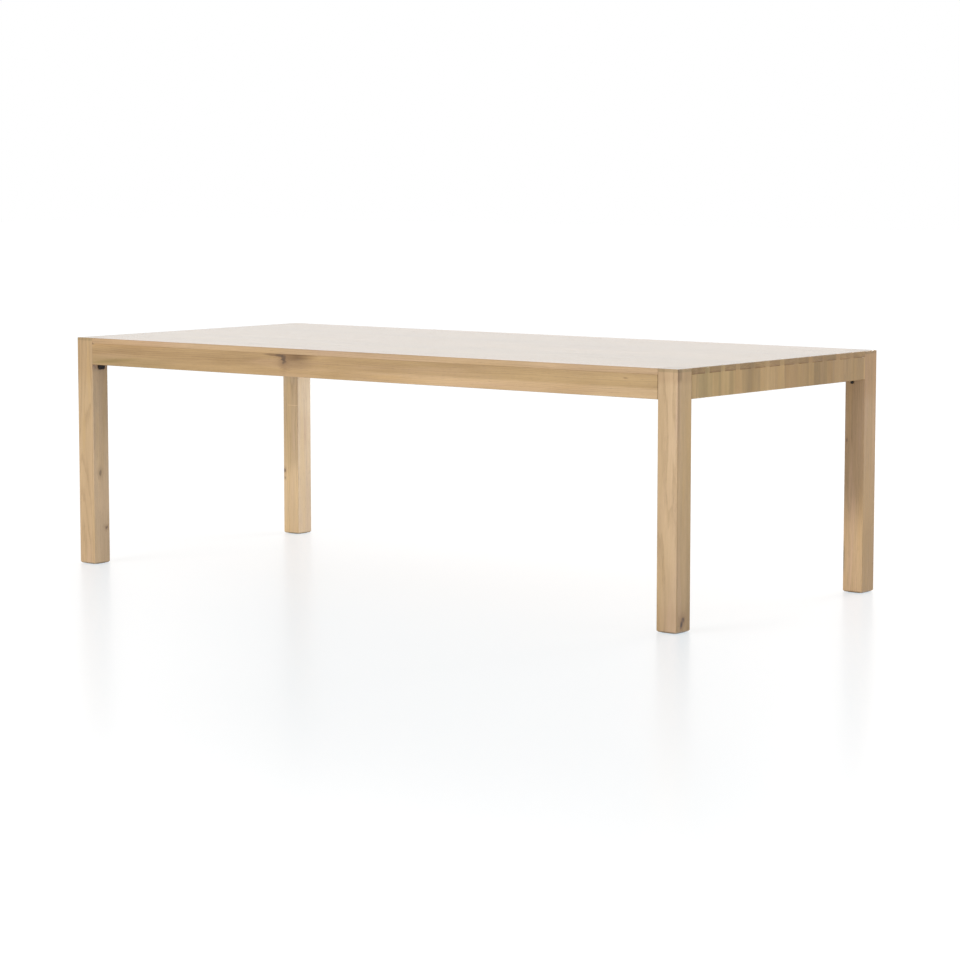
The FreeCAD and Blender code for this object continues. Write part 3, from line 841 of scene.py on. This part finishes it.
def level_ring(bm, radius, height):
    return ring(bm, [radius] * SEGMENTS, [height] * SEGMENTS)


def join_rings(bm, rings):
    """Faces between each ring and the next, and the flat tip."""
    for first, second in zip(rings, rings[1:]):
        for k in range(SEGMENTS):
            after = (k + 1) % SEGMENTS
            bm.faces.new((first[k], first[after], second[after], second[k]))
    bm.faces.new(rings[-1])


def shank(bm, rings, radius, length, tip):
    """Adds the rings of a threaded shank: a plain neck, ridges in steps, and a tapered tip."""
    pitch = radius * PITCH_SHARE
    plain = length * PLAIN_SHARE
    count = int((length - plain - tip) / pitch)
    rings.append(level_ring(bm, radius * NECK_SHARE, 0.0))
    rings.append(level_ring(bm, radius * NECK_SHARE, plain))
    for k in range(count):
        rings.append(level_ring(bm, radius * CREST_SHARE, plain + (k + CREST_PITCH_SHARE) * pitch))
        rings.append(level_ring(bm, radius * ROOT_SHARE, plain + (k + ROOT_PITCH_SHARE) * pitch))
    rings.append(level_ring(bm, radius * TAPER_SHARE, length - tip))
    rings.append(level_ring(bm, radius * POINT_SHARE, length))


def hex_bolt(length):
    """A hexagon bolt: a head with a turned chamfer and a washer face, and a threaded shank."""
    bm = bmesh.new()
    flat = BOLT_FLATS / 2
    crown = flat * CROWN_SHARE
    hexagon = []
    for k in range(SEGMENTS):
        angle = (2 * math.pi * k / SEGMENTS + HEXAGON_SIDE / 2) % HEXAGON_SIDE - HEXAGON_SIDE / 2
        hexagon.append(HEXAGON_SHARE * flat / math.cos(angle))
    slope = math.tan(CHAMFER_ANGLE)
    shoulder = [-BOLT_HEAD + (radius - crown) * slope for radius in hexagon]
    rings = [
        level_ring(bm, crown * DISH_SHARE, -BOLT_HEAD + BOLT_DISH),
        level_ring(bm, crown, -BOLT_HEAD),
        ring(bm, hexagon, shoulder),
        ring(bm, hexagon, [-BOLT_WASHER] * SEGMENTS),
        level_ring(bm, flat * WASHER_SHARE, -BOLT_WASHER),
        level_ring(bm, flat * WASHER_SHARE, 0.0),
    ]
    shank(bm, rings, BOLT_SHANK / 2, length - BOLT_HEAD, BOLT_TIP)
    join_rings(bm, rings)
    bm.faces.new(list(reversed(rings[0])))
    return bm


def cross_ring(bm, half, arm, height):
    """A ring of vertices in the form of a cross, a quarter at a time."""
    quarter = [(arm, -half), (arm, half), (half, half)]
    verts = []
    for _ in range(4):
        verts += [bm.verts.new((x, y, height)) for x, y in quarter]
        quarter = [(-y, x) for x, y in quarter]
    return verts


def cross_screw(length):
    """A pan-head screw with a tapered cross recess and a threaded shank."""
    bm = bmesh.new()
    rings = [level_ring(bm, SCREW_HEAD_RADIUS * r, -SCREW_HEAD * z) for r, z in PAN_SHARES]
    shank(bm, rings, SCREW_SHANK / 2, length - SCREW_HEAD, SCREW_TIP)
    join_rings(bm, rings)
    mouth = cross_ring(bm, *RECESS_MOUTH, -SCREW_HEAD)
    foot = cross_ring(bm, *RECESS_FOOT, -SCREW_HEAD * RECESS_FOOT_SHARE)
    count = len(mouth)
    for k in range(count):
        after = (k + 1) % count
        bm.faces.new((mouth[after], mouth[k], foot[k], foot[after]))
    bm.faces.new(list(reversed(foot)))
    rim = [bm.edges.get((rings[0][k], rings[0][(k + 1) % SEGMENTS])) for k in range(SEGMENTS)]
    lip = [bm.edges.get((mouth[k], mouth[(k + 1) % count])) for k in range(count)]
    bmesh.ops.triangle_fill(bm, edges=rim + lip, normal=(0, 0, -1), use_beauty=True)
    return bm


def turned(node, make, material):
    """One piece that stands for all the fasteners of a node, each rolled about its axis at random."""
    spin = random.Random(len(node))
    head = BOLT_HEAD if make is hex_bolt else SCREW_HEAD
    places = [seat(points) for points in loose_solids(node)]
    places.sort(key=lambda place: tuple(round(value, SORT_DIGITS) for value in place[0]))
    shape = make(places[0][2])
    bmesh.ops.recalc_face_normals(shape, faces=shape.faces)
    shape.verts.index_update()
    points = [vert.co.copy() for vert in shape.verts]
    faces = [[vert.index for vert in face.verts] for face in shape.faces]
    shape.free()
    all_points = []
    all_faces = []
    for outside, way, _ in places:
        turn = Vector((0, 0, 1)).rotation_difference(way).to_matrix().to_4x4()
        roll = Matrix.Rotation(spin.uniform(0, math.pi), 4, "Z")
        pose = Matrix.Translation(outside + way * head) @ turn @ roll
        first = len(all_points)
        all_points += [pose @ point for point in points]
        all_faces += [[first + k for k in face] for face in faces]
    mesh = bpy.data.meshes.new(node + "_turned")
    mesh.from_pydata(all_points, [], all_faces)
    mesh.materials.append(material)
    for polygon in mesh.polygons:
        polygon.use_smooth = True
    mesh.set_sharp_from_angle(angle=SHARP_ANGLE)
    piece = bpy.data.objects.new(node + "_turned", mesh)
    bpy.context.scene.collection.objects.link(piece)
    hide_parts(node)
    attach(piece, "root")


turned("leg_bolts", hex_bolt, black_steel("steel_bolts"))
turned("bracket_screws", cross_screw, black_steel("steel_bracket_screws"))
turned("brace_screws", cross_screw, black_steel("steel_brace_screws"))
turned("bearer_screws", cross_screw, zinc("zinc_bearer_screws"))
turned("rail_screws", cross_screw, zinc("zinc_rail_screws"))


# Floor: the grey that it lights the table with, and the pale glow and the sheen that are seen
FLOOR_REACH = 40.0
FLOOR_GREY = (0.70, 0.70, 0.70, 1.0)
FLOOR_PALE = (0.30, 0.30, 0.30, 1.0)
FLOOR_GLOW = (0.787, 0.923, 1.0, 1.0)
GLOW_RADII = (2.0, 6.0)
GLOW_LEVELS = (1.004, 1.163)
FLOOR_SHEEN = (1.0, 0.79, 0.66, 1.0)
SHEEN_ROUGHNESS = 0.40
SHEEN_SHARE = 0.274
POLISH_ROUGHNESS = 0.21
POLISH_SHARE = 0.16

# Surroundings: the level of the light that they give, and the level that is seen
WHITE = (1.0, 1.0, 1.0, 1.0)
LIGHT_LEVEL = 0.56
SEEN_LEVEL = 1.0

# A wide soft key from the front left and two fills: name, place, width and height, share of white light
LAMP_TARGET = (0.0, 0.0, 0.45)
LAMPS = (
    ("key", (-2.2, -7.0, 3.35), (4.2, 0.7), 0.46),
    ("side_fill", (7.0, 1.0, 2.6), (3.0, 3.0), 0.11),
    ("back_fill", (1.3, 4.8, 2.1), (2.5, 1.5), 0.50),
)

# Camera, as fitted to the photograph
CAMERA_PLACE = (6.00325, -7.48917, 1.36497)
CAMERA_DIP = 0.10876
CAMERA_TURN = 0.67013
CAMERA_LENS = 111.275
CAMERA_SENSOR = 36.0
CAMERA_REACH = 200.0


def seen(g):
    """1 for the camera's rays and for mirrored and passing ones, 0 for rays that only carry light."""
    path = g.node("LightPath").outputs
    mirrored = g.math("MAXIMUM", path["Is Glossy Ray"], path["Is Transmission Ray"])
    return g.math("MAXIMUM", path["Is Camera Ray"], mirrored)


def lay_floor():
    """A wide pale floor with a soft sheen, which fades into the white surroundings."""
    mesh = bpy.data.meshes.new("floor")
    size = FLOOR_REACH
    corners = [(-size, -size, 0), (size, -size, 0), (size, size, 0), (-size, size, 0)]
    mesh.from_pydata(corners, [], [(0, 1, 2, 3)])
    floor = bpy.data.objects.new("floor", mesh)
    bpy.context.scene.collection.objects.link(floor)

    g = Graph(bpy.data.materials.new("pale_floor"))
    grey = g.node("BsdfDiffuse", FLOOR_GREY).outputs[0]
    pale = g.node("BsdfDiffuse", FLOOR_PALE).outputs[0]
    away = g.vector("LENGTH", g.node("TexCoord").outputs["Object"])
    glow = g.node("Emission", FLOOR_GLOW, g.rise(away, *GLOW_RADII, *GLOW_LEVELS)).outputs[0]
    white = g.node("AddShader", pale, glow).outputs[0]
    sheen = g.node("BsdfGlossy", FLOOR_SHEEN, SHEEN_ROUGHNESS).outputs[0]
    polish = g.node("BsdfGlossy", FLOOR_SHEEN, POLISH_ROUGHNESS).outputs[0]
    white = g.node("MixShader", SHEEN_SHARE, white, sheen).outputs[0]
    white = g.node("MixShader", POLISH_SHARE, white, polish).outputs[0]
    g.node("OutputMaterial", g.node("MixShader", seen(g), grey, white).outputs[0])
    mesh.materials.append(g.owner)


def surround():
    """Surroundings that are seen as white and give a softer light."""
    g = Graph(bpy.data.worlds.new("studio"))
    level = g.rise(seen(g), 0.0, 1.0, LIGHT_LEVEL, SEEN_LEVEL)
    g.node("OutputWorld", g.node("Background", WHITE, level).outputs[0])
    bpy.context.scene.world = g.owner


def softbox(name, place, size, share):
    """An area lamp that gives a facing surface at the target this share of full white light."""
    lamp = bpy.data.lights.new(name, "AREA")
    lamp.shape = "RECTANGLE"
    lamp.size, lamp.size_y = size
    way = Vector(LAMP_TARGET) - Vector(place)
    lamp.energy = share * math.pi ** 2 * way.length_squared
    holder = bpy.data.objects.new(name, lamp)
    holder.location = place
    holder.rotation_euler = way.to_track_quat("-Z", "Y").to_euler()
    bpy.context.scene.collection.objects.link(holder)


def set_camera():
    """The camera of the photograph's view."""
    camera = bpy.data.cameras.new("camera")
    camera.sensor_width = CAMERA_SENSOR
    camera.lens = CAMERA_LENS
    camera.clip_end = CAMERA_REACH
    holder = bpy.data.objects.new("camera", camera)
    holder.location = CAMERA_PLACE
    holder.rotation_euler = (math.pi / 2 - CAMERA_DIP, 0.0, CAMERA_TURN)
    bpy.context.scene.collection.objects.link(holder)
    bpy.context.scene.camera = holder


lay_floor()
surround()
for lamp_values in LAMPS:
    softbox(*lamp_values)
set_camera()
bpy.context.scene.view_settings.view_transform = "Standard"
